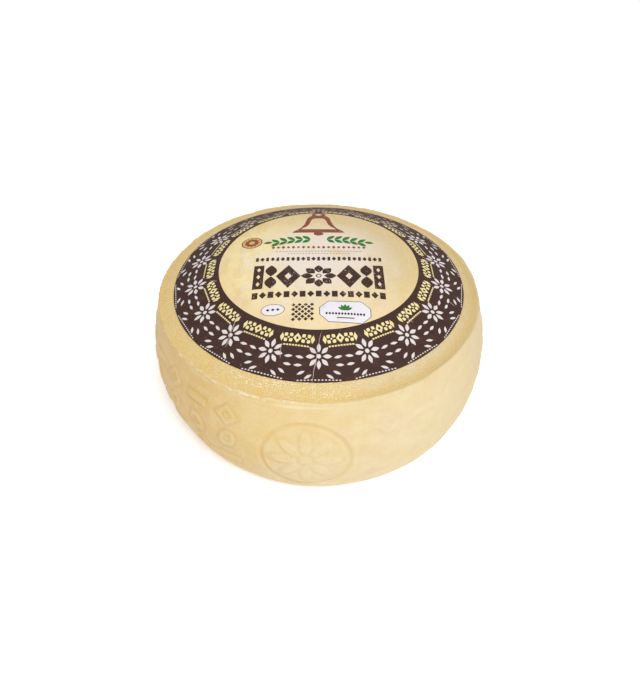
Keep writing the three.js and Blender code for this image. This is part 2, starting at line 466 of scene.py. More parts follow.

# %% Where the bead tops get painted glints, and where the weave shows
# painted glints: where the tops of the cloth's beads get a painted highlight
bead_glints = round_the_wheel(
    (-62, 0), (-44, 0.3), (-26, 0.85), (-10, 1), (2, 0.85), (13, 0.35), (28, 0.1)
)
bead_glints = np.clip(bead_glints + 0.3 * bead_glints * round_noise(32, 12 * MM, 42), 0, 1)
bead_glints = bead_glints * (0.3 + 0.7 * soft_step(from_crease, 3 * MM, 9 * MM)) * on_shoulder
golden = round_the_wheel((-140, 0), (-165, 0.8), (165, 0.8), (125, 0.2), (90, 0)) * on_shoulder
frosted = round_the_wheel((4, 0), (18, 0.9), (45, 0.7), (70, 0.15), (100, 0), (180, 0))
frosted = frosted * soft_step(past_crease, 5 * MM, 14 * MM)
print("beads show on", round(100 * float(np.mean(bead_glints > 0.2))), "per cent of the grid")

# %% [markdown]
# ## The mesh of the wheel
#
# The grid becomes faces with two closing fans, one at the middle of the base and one at the middle
# of the crown. Handing whole lists to Blender is far faster than adding faces one by one. The
# relief is kept as attributes as well, so that the material can paint shade into the hollows and
# highlights onto what stands proud.

# %% The grid's points and faces
def wheel_points():
    grown = (radius + relief * normal_out) * out_of_round(angle)
    x = axis_foot.x + grown * np.sin(angle)
    y = axis_foot.y - grown * np.cos(angle)
    z = height + relief * normal_up
    grid = np.stack([x, y, z], -1).reshape(-1, 3)
    foot = [axis_foot.x, axis_foot.y, 0]
    top = [axis_foot.x, axis_foot.y, CROWN_HEIGHT]
    return np.concatenate([grid, [foot, top]])


def wheel_faces():
    row = np.arange(len(rows) - 1)[:, None] * COLUMNS
    column = np.arange(COLUMNS)[None, :]
    after = (column + 1) % COLUMNS
    quads = np.stack([row + column, row + after, row + COLUMNS + after, row + COLUMNS + column], -1)
    last_row = (len(rows) - 1) * COLUMNS
    foot = len(rows) * COLUMNS
    top = foot + 1
    fans = [(foot, (i + 1) % COLUMNS, i) for i in range(COLUMNS)]
    fans += [(top, last_row + i, last_row + (i + 1) % COLUMNS) for i in range(COLUMNS)]
    return quads.reshape(-1, 4).tolist() + fans


# %% A piece from points and faces, and a field of values on it
def add_piece(name, points, faces):
    mesh = bpy.data.meshes.new(name)
    mesh.from_pydata(points.tolist(), [], faces)
    mesh.polygons.foreach_set("use_smooth", [True] * len(mesh.polygons))
    piece = bpy.data.objects.new(name, mesh)
    bpy.context.scene.collection.objects.link(piece)
    return piece


def add_field(piece, name, values):
    """Keeps a value for each point. Points past the end of the values get nothing."""
    spread = np.zeros(len(piece.data.vertices), np.float32)
    spread[: values.size] = values.ravel()
    field = piece.data.attributes.new(name, "FLOAT", "POINT")
    field.data.foreach_set("value", spread)


# %% Build the wheel
wheel = add_piece("wheel_skin", wheel_points(), wheel_faces())
wheel_fields = {
    "proud": proud,
    "groove": groove,
    "trench": trench,
    "lip": lip_highlight_and_crumbs,
    "highlight_band": highlight_band,
    "hollow": hollow,
    "shoulder": on_shoulder,
    "pits": pits,
    "warmth": warmth,
    "sunny": sunny,
    "right_shade": right_shade,
    "bead_glints": bead_glints,
    "golden": golden,
    "frosted": frosted,
}
for field_name, values in wheel_fields.items():
    add_field(wheel, field_name, values)
print(wheel.name, len(wheel.data.polygons), "faces,", len(wheel_fields), "fields")

# %% [markdown]
# ## The print on the label
#
# A label's print could be an image, but flat shapes of ink are enough here and stay sharp from any
# distance. Every shape is an outline in millimetres on the flat label, stamped in order, so a later
# shape covers an earlier one. Then one call cuts the whole sheet into triangles along all outlines
# at once, and says which outlines each triangle lies in.

# %% Inks
INKS = {
    "paper": (240, 222, 176),
    "brown": (71, 50, 44),
    "umber": (150, 124, 112),
    "white": (232, 222, 219),
    "straw": (246, 230, 168),
    "green": (52, 124, 56),
    "russet": (142, 84, 66),
    "plaque": (240, 238, 243),
    "gold": (222, 182, 116),
    "worn": (196, 184, 176),
}
stamps = []
print(len(INKS), "tones")

# %% [markdown]
# The print is built from a few plain outlines: ovals, oblongs, lozenges and leaves. A curve object
# could draw each one, but then every mark would be an object of its own. A list of corners can be
# turned, moved and cut into the sheet.

# %% Outlines, all anticlockwise
def oval(width, tall, sides=28):
    turns = [i * FULL_TURN / sides for i in range(sides)]
    return [(width / 2 * math.cos(t), tall / 2 * math.sin(t)) for t in turns]


def oblong(width, tall):
    x, y = width / 2, tall / 2
    return [(-x, -y), (x, -y), (x, y), (-x, y)]


def lozenge(width, tall):
    return [(0, -tall / 2), (width / 2, 0), (0, tall / 2), (-width / 2, 0)]


def leaf(length, width, sides=7):
    """A pointed leaf that grows upwards from its own foot."""
    right = [(width / 2 * math.sin(math.pi * i / sides), length * i / sides) for i in range(sides)]
    left = [(-x, y) for x, y in right[1:]]
    return right + [(0, length)] + left[::-1]


def stamp(ink, shape, at=(0, 0), turn=0.0):
    """Adds an outline, turned about its own origin and then moved."""
    c, s = math.cos(turn), math.sin(turn)
    moved = [(at[0] + x * c - y * s, at[1] + x * s + y * c) for x, y in shape]
    stamps.append((ink, moved))


def flower(ink, at, turn, size, petals=8, petal_width=0.4):
    """Petals round a dot. The size is the radius."""
    for i in range(petals):
        lean = turn + i * FULL_TURN / petals
        foot = (at[0] - 0.3 * size * math.sin(lean), at[1] + 0.3 * size * math.cos(lean))
        stamp(ink, leaf(0.7 * size, petal_width * size), foot, lean)
    stamp(ink, oval(0.34 * size, 0.34 * size, 12), at)


# %% [markdown]
# The ring has two circles of ornament. Outside, white daisies hang between sprigs over a fine row
# of dots. Inside, straw-coloured friezes stand between the daisies, each over its own fine line.
# Every shape is stood up for a reader outside the wheel, so one function gives its place and turn.

# %% The two groups of the ring
RING_INSIDE = 95.4
LABEL_MM = LABEL_RADIUS / MM - 0.4
DAISIES = 18
DAISY_OUT = 118.5
DOTS_OUT = 138.2
FRIEZE_OUT = 103.6
DASHES_OUT = 110
SPRIG_LEAVES = [(12.6, 119.5, 74), (13.9, 125.5, 86), (11.6, 130.5, 112), (6.0, 133.6, 118)]


def on_ring(out, degrees, across=0.0):
    """A place on a ring round the label, and the turn that stands a shape up for the reader."""
    turn = math.radians(degrees)
    x = out * math.sin(turn) + across * math.cos(turn)
    y = -out * math.cos(turn) + across * math.sin(turn)
    return (x, y), turn


def white_group(degrees):
    at, turn = on_ring(DAISY_OUT, degrees)
    flower("white", at, turn, 11, petal_width=0.32)
    for side in (-1, 1):
        for across, out, tilt in SPRIG_LEAVES:
            at, turn = on_ring(out, degrees, side * across)
            stamp("white", leaf(7.2, 2.4), at, turn - side * math.radians(tilt))
    for j in range(-6, 7):
        at, turn = on_ring(DOTS_OUT, degrees, 2.9 * j)
        stamp("white", oval(1.9, 1.1, 8), at, turn)


def straw_group(degrees):
    at, turn = on_ring(FRIEZE_OUT, degrees)
    stamp("straw", lozenge(7.2, 8.6), at, turn)
    stamp("brown", oval(2.2, 2.6, 10), at, turn)
    for side in (-1, 1):
        at, turn = on_ring(FRIEZE_OUT, degrees, side * 7.6)
        flower("straw", at, turn + math.pi / 4, 5, petals=4, petal_width=0.72)
        at, turn = on_ring(FRIEZE_OUT, degrees, side * 13.2)
        stamp("straw", lozenge(3.6, 7.6), at, turn)
    for j in range(-4, 5):
        at, turn = on_ring(DASHES_OUT, degrees, 2.5 * j)
        stamp("straw", oblong(1.8, 1.3), at, turn)


# %% Stamp the ring
stamp("brown", oval(2 * LABEL_MM, 2 * LABEL_MM, 200))
stamp("paper", oval(2 * RING_INSIDE, 2 * RING_INSIDE, 160))
for i in range(DAISIES):
    white_group(i * 360 / DAISIES)
    straw_group((i + 0.5) * 360 / DAISIES)
print(len(stamps), "shapes of ink on the ring")

# %% [markdown]
# The middle is read from the front: a cow bell over a garland, fine rows, a bold frieze between two
# smaller ones, and at the foot an oval, a lattice and a plaque. A round seal sits at the left.

# %% The bell and the garland
BELL_SIDE = [(5, 18), (9, 15.5), (11.5, 10), (13, 2), (15, -6), (18.5, -13), (25, -19), (26.5, -22)]
BELL_AT = (0, 68)


def bell_outline(width=1.0, tall=1.0, up=0.0):
    right = [(x * width, y * tall + up) for x, y in BELL_SIDE[::-1]]
    return right + [(-x, y) for x, y in right[::-1]]


def row_of(ink, shapes, pitch, count, y):
    """A level row of shapes that take turns, centred on the label."""
    for i in range(count):
        stamp(ink, shapes[i % len(shapes)], (pitch * (i - (count - 1) / 2), y))


def garland(side):
    """A branch that grows sideways from the middle, with leaves in pairs."""
    for k in range(5):
        foot = (side * (8 + 7.6 * k), 33 - 0.35 * k * k)
        for lean in (52, 128):
            stamp("green", leaf(10.5, 4.8), foot, -side * math.radians(lean))
    stamp("green", leaf(9.5, 4.6), (side * 45, 28.5), -side * math.radians(98))


# %% Stamp the bell, the garland and the fine rows
stamp("russet", bell_outline(), BELL_AT)
stamp("paper", bell_outline(0.66, 0.62, -1.5), BELL_AT)
stamp("russet", oval(15, 14, 20), (0, 89))
stamp("paper", oval(7, 6.4, 16), (0, 89.5))
stamp("russet", oval(10, 8, 16), (0, 44))
garland(-1)
garland(1)
row_of("russet", [lozenge(3.8, 5.4), oval(2.8, 3.8, 10)], 4.9, 19, 18.5)
row_of("umber", [oblong(2.1, 1.0)], 3.1, 27, 11.5)
row_of("umber", [oblong(1.5, 1.0)], 2.9, 21, 7.5)
print(len(stamps), "shapes with the bell and its rows")

# %% The friezes
BAND_AT = -28.7
BAND_TALL = 34.5

row_of("brown", [oblong(2.7, 6.2), lozenge(4.6, 6.8)], 4.85, 25, -1.5)
flower("brown", (0, BAND_AT), 0, 16.5, petal_width=0.5)
stamp("paper", oval(3.4, 3.4, 12), (0, BAND_AT))
for side in (-1, 1):
    stamp("brown", lozenge(23, BAND_TALL), (side * 28, BAND_AT))
    stamp("paper", lozenge(6.5, 10), (side * 28, BAND_AT))
    stamp("brown", leaf(BAND_TALL / 2, 11), (side * 44, BAND_AT))
    stamp("brown", leaf(BAND_TALL / 2, 11), (side * 44, BAND_AT), math.pi)
    stamp("brown", oblong(9.5, BAND_TALL), (side * 55.5, BAND_AT))
    for k in (-1, 0, 1):
        stamp("paper", lozenge(3.6, 6.4), (side * 55.5, BAND_AT + 10.4 * k))
row_of("brown", [oblong(5.2, 8), lozenge(6.6, 8.8)], 7.15, 17, -54.5)
print(len(stamps), "shapes with the friezes")


# %% The plaque, the lattice, the oval and the seal
def cut_corners(width, tall, corner):
    x, y, c = width / 2, tall / 2, corner
    lower = [(-x + c, -y), (x - c, -y), (x, -y + c)]
    upper = [(x, y - c), (x - c, y), (-x + c, y)]
    return lower + upper + [(-x, y - c), (-x, -y + c)]


PLAQUE_AT = Vector((23, -76))
LATTICE_AT = Vector((-14, -76.5))
OVAL_AT = Vector((-40, -73))
SEAL_AT = Vector((-66, 30))

stamp("brown", cut_corners(45, 24, 8), PLAQUE_AT)
stamp("plaque", cut_corners(43.8, 22.8, 7.5), PLAQUE_AT)
for lean in (-60, -30, 0, 30, 60):
    stamp("green", leaf(7.5, 2.8), PLAQUE_AT + Vector((0, 1)), math.radians(lean))
for i in range(-6, 7):
    stamp("brown", lozenge(2.5, 3.2), PLAQUE_AT + Vector((2.7 * i, -2.6)))
stamp("russet", oblong(15, 1.2), PLAQUE_AT + Vector((0, -7)))
for i in range(-3, 4):
    for j in range(-3, 4):
        if (i + j) % 2 == 0:
            stamp("brown", lozenge(3.9, 3.9), LATTICE_AT + Vector((2.7 * i, 2.7 * j)))
stamp("russet", oval(21, 13), OVAL_AT)
stamp("plaque", oval(19.8, 11.8), OVAL_AT)
for i in (-1, 0, 1):
    stamp("brown", lozenge(3.4, 3), OVAL_AT + Vector((4.4 * i, 0)))
stamp("russet", oval(21, 21), SEAL_AT)
stamp("gold", oval(18.6, 18.6), SEAL_AT)
flower("russet", SEAL_AT, 0, 8, 12)
stamp("gold", oval(4.4, 4.4, 14), SEAL_AT)
print(len(stamps), "shapes of ink in all")

# %% [markdown]
# ## Worn folds
#
# Paper that dries on a dome creases, and along each crease the ink has rubbed off. A texture could
# show the wear alone. Here a fold is a line that wanders a little: it is drawn as a thin sliver in a
# worn tone, and later the same line lifts the sheet.

# %% Folds, as (degrees round the label, distance from its middle) pairs
FOLDS = [
    [(106.3, 99.5), (99.6, 106.4), (95.5, 114.8)],
    [(1.4, 96.5), (-0.5, 113.8), (-2.4, 140)],
    [(-44.5, 99.5), (-40.9, 115.6), (-38.1, 129.3)],
    [(-16.6, 110), (-15.1, 122.6)],
    [(16.8, 134.5), (16.2, 140)],
    [(49.2, 98.2), (46.7, 107.4), (46.9, 113)],
    [(71.6, 127), (71.0, 134)],
    [(-76, 98), (-79, 104)],
    [(150, 104), (152, 112), (151, 120)],
    [(207, 128), (204, 137)],
]
print(len(FOLDS), "folds")

# %% A fold's line and its sliver
FOLD_WIDTH = 0.6
FOLD_WANDER = 0.5
FOLD_BEND = 4


def fold_points(fold, spacing=1.6):
    """The fold's line in label millimetres, resampled and made to wander a little."""
    degrees, out = np.array(fold, float).T
    turns = np.radians(degrees)
    knots = np.stack([out * np.sin(turns), -out * np.cos(turns)], 1)
    lengths = np.concatenate([[0], np.cumsum(np.linalg.norm(np.diff(knots, axis=0), axis=1))])
    places = np.linspace(0, lengths[-1], max(3, int(lengths[-1] / spacing)))
    line = np.stack([np.interp(places, lengths, knots[:, i]) for i in (0, 1)], 1)
    sideways = [ripple(places / FOLD_BEND, 0 * places, seed) for seed in (51, 52)]
    return line + FOLD_WANDER * np.stack(sideways, 1)


def fold_outline(line):
    """A sliver along the line, pointed at both ends. It runs anticlockwise, as all outlines do."""
    share = np.linspace(0, 1, len(line))
    side = np.gradient(line, axis=0)
    side = np.stack([-side[:, 1], side[:, 0]], 1) / np.linalg.norm(side, axis=1)[:, None]
    half = FOLD_WIDTH / 2 * np.sin(np.pi * np.clip(share, 0.02, 0.98)) ** 0.5
    half = half * (0.8 + 0.45 * ripple(share * 9, 0 * share, 53))
    return [*(line - side * half[:, None]), *(line + side * half[:, None])[::-1]]


# %% Stamp the folds
fold_lines = [fold_points(fold) for fold in FOLDS]
for line in fold_lines:
    stamp("worn", [tuple(p) for p in fold_outline(line)])
print(len(stamps), "shapes with the folds")

# %% [markdown]
# ## Cutting the sheet
#
# `delaunay_2d_cdt` takes loose points, and faces whose edges the triangles must follow. The loose
# points are rings a few millimetres apart, so that the sheet can bend with the crown, and the faces
# are the shapes of ink. For each triangle it lists the shapes that it came from, and the last
# one stamped is the ink on top. A loose point on an outline's corner would leave a triangle without
# area, so the rings are turned by part of a step.

# %% Divided edges, and loose points between them
GRID_STEP = 3.2
LONGEST_EDGE = 3.0
OFF_STEP = 0.37


def refined(shape):
    """The outline with its long edges divided."""
    points = []
    for a, b in zip(shape, [*shape[1:], shape[0]]):
        pieces = max(1, math.ceil(math.dist(a, b) / LONGEST_EDGE))
        for k in range(pieces):
            points.append((a[0] + (b[0] - a[0]) * k / pieces, a[1] + (b[1] - a[1]) * k / pieces))
    return points


def loose_points():
    points = [(0.0, 0.0)]
    for out in np.arange(GRID_STEP, LABEL_MM - 1, GRID_STEP):
        count = int(FULL_TURN * out / GRID_STEP)
        turns = (np.arange(count) + OFF_STEP) * FULL_TURN / count
        points += [(out * math.sin(t), out * math.cos(t)) for t in turns]
    return points


# %% Cut the label along every outline
sheet_points = []
sheet_outlines = []
for _, shape in stamps:
    fine_shape = refined(shape)
    first = len(sheet_points)
    sheet_outlines.append(list(range(first, first + len(fine_shape))))
    sheet_points += fine_shape
sheet_points += loose_points()
cut = delaunay_2d_cdt([Vector(p) for p in sheet_points], [], sheet_outlines, 1, 1e-4)
cut_points = np.array([tuple(p) for p in cut[0]])
cut_faces = cut[2]
top_stamp = [max(origins) for origins in cut[5]]
print(len(sheet_points), "points gave", len(cut_faces), "triangles")

# %% [markdown]
# ## Laying the sheet
#
# The paper follows the crown a hair above it. It isn't quite flat: glue and damp leave long shallow
# waves, and each fold stands up a little.

# %% Heights over the crown
LABEL_GAP = 0.3 * MM
PAPER_THICKNESS = 0.4 * MM
LABEL_SLIP = Vector((-0.4 * MM, -1.7 * MM))
# like the outlines, these are in millimetres: how long and how high the waves are, and the folds
LONG_WAVE = (23, 0.12)
SHORT_WAVE = (9, 0.06)
FOLD_REACH = 1.3
FOLD_RIDGE = 0.28


def fold_distance(points):
    """How far each point lies from the nearest fold, in millimetres."""
    nearest = np.full(len(points), 99.0)
    for line in fold_lines:
        for a, b in zip(line[:-1], line[1:]):
            share = np.clip(((points - a) @ (b - a)) / ((b - a) @ (b - a)), 0, 1)
            gap = np.linalg.norm(points - a - share[:, None] * (b - a), axis=1)
            nearest = np.minimum(nearest, gap)
    return nearest


def sheet_heights(points):
    x = points[:, 0] * MM + LABEL_OFFSET.x + LABEL_SLIP.x
    y = points[:, 1] * MM + LABEL_OFFSET.y + LABEL_SLIP.y
    waves = LONG_WAVE[1] * ripple(*(points.T / LONG_WAVE[0] + 20), 61)
    waves = waves + SHORT_WAVE[1] * ripple(*(points.T / SHORT_WAVE[0] + 30), 62)
    ridge = FOLD_RIDGE * bell_curve(fold_distance(points), 0, FOLD_REACH)
    return crown_height(x, y) + LABEL_GAP + PAPER_THICKNESS + MM * (waves + ridge)


heights = sheet_heights(cut_points)
print("the sheet rises from", round(heights.min() / MM, 1), "to", round(heights.max() / MM, 1), "mm")


# %% A colour from 0 to 255 as linear light
def tone(red, green, blue):
    shares = [c / 255 for c in (red, green, blue)]
    linear = [s / 12.92 if s <= 0.04045 else ((s + 0.055) / 1.055) ** 2.4 for s in shares]
    return (*linear, 1.0)


# %% Build the label
sheet = np.column_stack([cut_points * MM, heights])
sheet[:, 0] += label_middle.x + LABEL_SLIP.x
sheet[:, 1] += label_middle.y + LABEL_SLIP.y
label = add_piece("printed_label", sheet, cut_faces)

ink_of_face = [stamps[which][0] for which in top_stamp]
ink_colours = [(*tone(*INKS[ink])[:3], 0.0 if ink == "paper" else 1.0) for ink in ink_of_face]
ink_field = label.data.attributes.new("ink", "FLOAT_COLOR", "FACE")
ink_field.data.foreach_set("color", np.ravel(ink_colours))
print(label.name, len(label.data.polygons), "faces on its printed side")

# %% [markdown]
# The paper hasn't aged evenly. Its right side is duller, its foot is chalky, and towards the back
# the print on the ring has browned. Again a value at each point says how much.

# %% Where the label is duller, chalkier and browned
DULL_TOWARDS = (0.8, 0.6)
from_centre = np.hypot(*cut_points.T)
on_the_ring = 0.25 * soft_step(from_centre, 93, 95) + 0.75 * soft_step(from_centre, 106, 114)
aged = soft_step(cut_points[:, 1], 50, 130) * on_the_ring
add_field(label, "dull", soft_step(cut_points @ DULL_TOWARDS, -55, 85))
add_field(label, "chalky", soft_step(-cut_points[:, 1], 30, 75))
add_field(label, "aged", aged)
print("the print has browned at", round(100 * float(np.mean(aged > 0.2))), "per cent of its points")

# %% [markdown]
# So far the label is a single sheet. A Solidify modifier gives it the thickness of paper, downwards
# from the printed side, and closes its rim. Modelling a second side by hand would gain nothing.

# %% The paper's thickness
thick = label.modifiers.new("paper", "SOLIDIFY")
thick.thickness = PAPER_THICKNESS
thick.offset = -1
print("the paper is", round(thick.thickness / MM, 2), "mm thick")

# %% [markdown]
# ## Sums on sockets
#
# A material is easier to read as a sum than as a drawing of nodes. This small class wraps a socket,
# so that `1 - mask * 0.5` adds the Math nodes by itself. Colours never go through a Math node, which
# would turn them grey: they are blended by a Mix node.

# %% A socket that can be used in sums
class Field:
    """A value that varies over the surface: one output socket of a material's nodes."""

    def __init__(self, finish, socket):
        self.finish = finish
        self.socket = socket

    def math(self, operation, *values):
        numbered = dict(enumerate((self, *values)))
        return self.finish.node("ShaderNodeMath", {"operation": operation}, numbered)

    def __add__(self, other):
        return self.math("ADD", other)

    def __mul__(self, other):
        return self.math("MULTIPLY", other)

    def __sub__(self, other):
        return self.math("SUBTRACT", other)

    def __rsub__(self, other):
        return (self * -1) + other

    __radd__ = __add__
    __rmul__ = __mul__

    def between(self, low, high):
        """0 below low, 1 above high, and a soft rise between them."""
        settings = {"interpolation_type": "SMOOTHSTEP"}
        values = {"Value": self, "From Min": low, "From Max": high}
        return self.finish.node("ShaderNodeMapRange", settings, values)


# %% A material, and the one method that makes its nodes
class Finish:
    """One material or sky, built round the shader that Blender gives it."""

    def __init__(self, name, kind="materials", shader="Principled BSDF"):
        self.block = getattr(bpy.data, kind).new(name)
        self.block.use_nodes = True
        self.tree = self.block.node_tree
        self.shader = self.tree.nodes[shader]

    def put(self, socket, value):
        if isinstance(value, Field):
            self.tree.links.new(value.socket, socket)
        else:
            socket.default_value = value

    def node(self, kind, settings=None, values=None, out=0):
        """Makes a node, sets it, fills its sockets, and gives its output or a tuple of them."""
        made = self.tree.nodes.new(kind)
        for key, value in (settings or {}).items():
            setattr(made, key, value)
        for key, value in (values or {}).items():
            by_name = [s for s in made.inputs if key in (s.identifier, s.name)]
            self.put(made.inputs[key] if isinstance(key, int) else by_name[0], value)
        if isinstance(out, tuple):
            return tuple(Field(self, made.outputs[name]) for name in out)
        return Field(self, made.outputs[out])

    def attribute(self, name, out="Fac"):
        return self.node("ShaderNodeAttribute", {"attribute_name": name}, out=out)

    def place(self, scale=(1, 1, 1)):
        """The point's own coordinates in metres, stretched by a scale."""
        where = self.node("ShaderNodeTexCoord", out="Object")
        return self.node("ShaderNodeVectorMath", {"operation": "MULTIPLY"}, {0: where, 1: scale})

    def distance(self, scale):
        """How far the point lies from the origin once its coordinates are stretched."""
        settings = {"operation": "LENGTH"}
        return self.node("ShaderNodeVectorMath", settings, {0: self.place(scale)}, "Value")

    def noise(self, cell, detail=2.0, scale=(1, 1, 1), roughness=0.5, where=None):
        """Cloudy noise whose patches are about a cell wide, in metres."""
        values = {"Vector": where or self.place(scale), "Scale": 1 / cell}
        values |= {"Detail": detail, "Roughness": roughness}
        return self.node("ShaderNodeTexNoise", None, values)

    def grains(self, cell, where, randomness):
        """The distance from the middle of each grain, in cells."""
        settings = {"voronoi_dimensions": "2D"}
        values = {"Vector": where, "Scale": 1 / cell, "Randomness": randomness}
        return self.node("ShaderNodeTexVoronoi", settings, values, "Distance")

    def blend(self, share, first, second, kind="MIX"):
        settings = {"data_type": "RGBA", "blend_type": kind}
        values = {"Factor_Float": share, "A_Color": first, "B_Color": second}
        return self.node("ShaderNodeMix", settings, values, out=2)

    def layers(self, base, *coats):
        """Blends coats of colour over a base. Each is a share and a colour."""
        for share, colour in coats:
            base = self.blend(share, base, colour)
        return base

    def bump(self, rise, depth, under=None):
        """A bump from a height between 0 and 1 that stands for a depth in metres."""
        values = {"Height": rise, "Distance": depth, "Strength": 1.0}
        if under:
            values["Normal"] = under
        return self.node("ShaderNodeBump", None, values)

    def wear(self, **values):
        """Sets or links the shader's own sockets."""
        for key, value in values.items():
            self.put(self.shader.inputs[key.replace("_", " ")], value)


# %% [markdown]
# ## The cheese
#
# The rind of a young wheel is thin, waxy and pale. Its side carries the fine mesh of the band, its
# shoulder the coarser beads and weave of the cloth. What stands proud gets a painted highlight, and
# the hollows, trenches, grooves, pits and gaps between beads get a painted shade of gold and tan.
# One side of the wheel has ripened warmer. Light goes a little way in, so a touch of subsurface
# softens it.

# %% The colours of the rind
CREAM = tone(231, 212, 165)
IVORY = tone(240, 226, 190)
BUTTER = tone(233, 207, 144)
BLUSH = tone(233, 207, 170)
AMBER = tone(225, 181, 95)
SUNNY = tone(242, 210, 130)
SHADE_TONE = tone(210, 187, 136)
GOLD = tone(224, 188, 116)
SHOULDER_GOLD = tone(243, 210, 132)
HOLLOW_SHADE = tone(216, 176, 98)
TAN = tone(200, 162, 106)
GLEAM = tone(255, 248, 220)

cheese = Finish("waxy_rind")
here = {name: cheese.attribute(name) for name in wheel_fields}
print("the rind knows", ", ".join(here))

# %% [markdown]
# A place on the rind is best told by its bearing round the wheel, its distance from the axis and its
# height. The bearing is turned into a length round the wheel, so that all three are in metres, and
# patterns made from them follow the wheel round.

# %% Round, out and up
ROUND_LENGTH = 0.16
east, north, up = cheese.node("ShaderNodeSeparateXYZ", None, {0: cheese.place()}, ("X", "Y", "Z"))
out = cheese.distance((1, 1, 0))
around = east.math("ARCTAN2", north) * ROUND_LENGTH


def along_rind(first, second):
    """A pattern's coordinates from two lengths."""
    return cheese.node("ShaderNodeCombineXYZ", None, {"X": first, "Y": second})


# %% [markdown]
# The ground colour is laid in coats, as a painter would: broad butter-coloured clouds on cream, a
# blush, paler patches, then the warm, sunny and golden places, with brushed streaks where cloths and
# brushes have passed. Each coat is one Mix node whose factor says how much of it shows.

# %% Clouds, patches and streaks
clouds = cheese.noise(60 * MM, 3).between(0.38, 0.62)
patches = cheese.noise(16 * MM, 4).between(0.42, 0.66)
blush = cheese.noise(28 * MM, 3).between(0.45, 0.65)
brushed_place = along_rind(around * 0.28 + up * 0.2, up - around * 0.12)
brushed = cheese.noise(11 * MM, 3, where=brushed_place).between(0.42, 0.62)
slant_place = along_rind(around + up * 0.5, up * 0.16 - around * 0.07)
slanting = cheese.noise(3 * MM, 2, where=slant_place).between(0.48, 0.68)
upright_streaks = cheese.noise(5 * MM, 3, (1, 1, 0.2)).between(0.45, 0.7)
speckle = cheese.noise(1.5 * MM, 3).between(0.35, 0.7)

# %% The coats of the ground colour
rind = cheese.layers(
    CREAM,
    (clouds * 0.4, BUTTER),
    (blush * (1 - here["warmth"]) * 0.68, BLUSH),
    (patches * 0.3, IVORY),
    (here["warmth"] * 0.85, AMBER),
    (here["sunny"] * 0.65, SUNNY),
    (brushed * 0.22, IVORY),
    (slanting * (here["warmth"] * 0.08 + 0.04), TAN),
    (upright_streaks * 0.14, IVORY),
    (here["shoulder"] * 0.8, SHOULDER_GOLD),
    (here["golden"] * 0.7, GOLD),
)
print("the ground colour takes", len(cheese.tree.nodes), "nodes")

# %% [markdown]
# The cloth on the crown leaves beads of curd between its threads, and a fine weave. Beads are the
# cells of a Voronoi texture, each rounded into a small dome. A weave and a mesh are two sine waves
# multiplied, which keeps them regular: round and out for the cloth, two slants for the band.

# %% The beads and the weave of the cloth, and the mesh of the band
BEAD = 2.2 * MM
WEAVE = 1.5 * MM
MESH = 1.8 * MM


def crossed(first, second, spacing):
    """Two crossing waves, multiplied into a pattern between 0 and 1."""
    waves = [(length * (FULL_TURN / spacing)).math("SINE") for length in (first, second)]
    return waves[0] * waves[1] * 0.5 + 0.5


bead_place = along_rind(around, out)
to_middle = cheese.grains(BEAD, bead_place, 0.55)
dome = 1 - (to_middle * to_middle * 2.6).between(0, 1)
bead_shine = cheese.noise(3.4 * MM, 2).between(0.42, 0.66)
bead_tops = dome.between(0.62, 0.95) * bead_shine * here["bead_glints"]
bead_gaps = (1 - dome.between(0.05, 0.5)) * here["shoulder"]

weave_threads = crossed(around, out, WEAVE)
weave_fade = (1 - here["hollow"].between(0.1, 0.75)) * cheese.noise(9 * MM, 2).between(0.3, 0.6)
weave = weave_threads * here["shoulder"] * weave_fade
mesh_print = crossed(around + up, around - up, MESH) * (1 - here["shoulder"])
spacings = [round(size / MM, 1) for size in (BEAD, WEAVE, MESH)]
print("beads, weave and mesh are spaced", spacings, "mm")

# %% Painted shade and highlights that follow the relief, and other tints
rind = cheese.layers(
    rind,
    # painted shade in the dip inside the lip
    (here["hollow"] * 0.45, GOLD),
    # painted shade on the right side and shoulder
    (here["right_shade"] * 0.66, SHADE_TONE),
    # painted shade between the beads
    (bead_gaps * 0.14, HOLLOW_SHADE),
    (here["frosted"] * 0.25, IVORY),
    (weave * (0.45 + 0.45 * here["frosted"]), IVORY),
    # painted glints on the tops of the beads
    (bead_tops * 0.9, GLEAM),
    (mesh_print * 0.12, IVORY),
    # painted highlight on the lip, and the pale crumbs
    (here["lip"].between(0.3, 0.95) * 0.5, GLEAM),
    # painted highlight just below the crease
    (here["highlight_band"].between(0.15, 1) * 0.5, GLEAM),
    # painted highlight on what stands proud
    (here["proud"] * 0.14, IVORY),
    # painted shade in the trench round what stands proud
    (here["trench"] * (0.1 + 0.3 * here["warmth"]), TAN),
    # painted shade in the sunk ring
    (here["groove"] * 0.2, HOLLOW_SHADE),
    # painted shade in the pits
    (here["pits"] * 0.3, TAN),
    (speckle * (0.08 + 0.1 * here["warmth"]), TAN),
)
print("with its tints the rind takes", len(cheese.tree.nodes), "nodes")

# %% [markdown]
# Relief finer than the mesh can hold is bump: the beads, the threads and the skin's own grain. Bump
# only bends the shading, so it is kept under a third of a millimetre. The tops of the beads are a
# little glossier than the rest, because hands and cloths rub them first.

# %% Gloss and fine relief
grain = cheese.noise(0.9 * MM, 2)
skin = cheese.noise(4 * MM, 4)
rubbed_skin = cheese.noise(3 * MM, 2, where=slant_place)

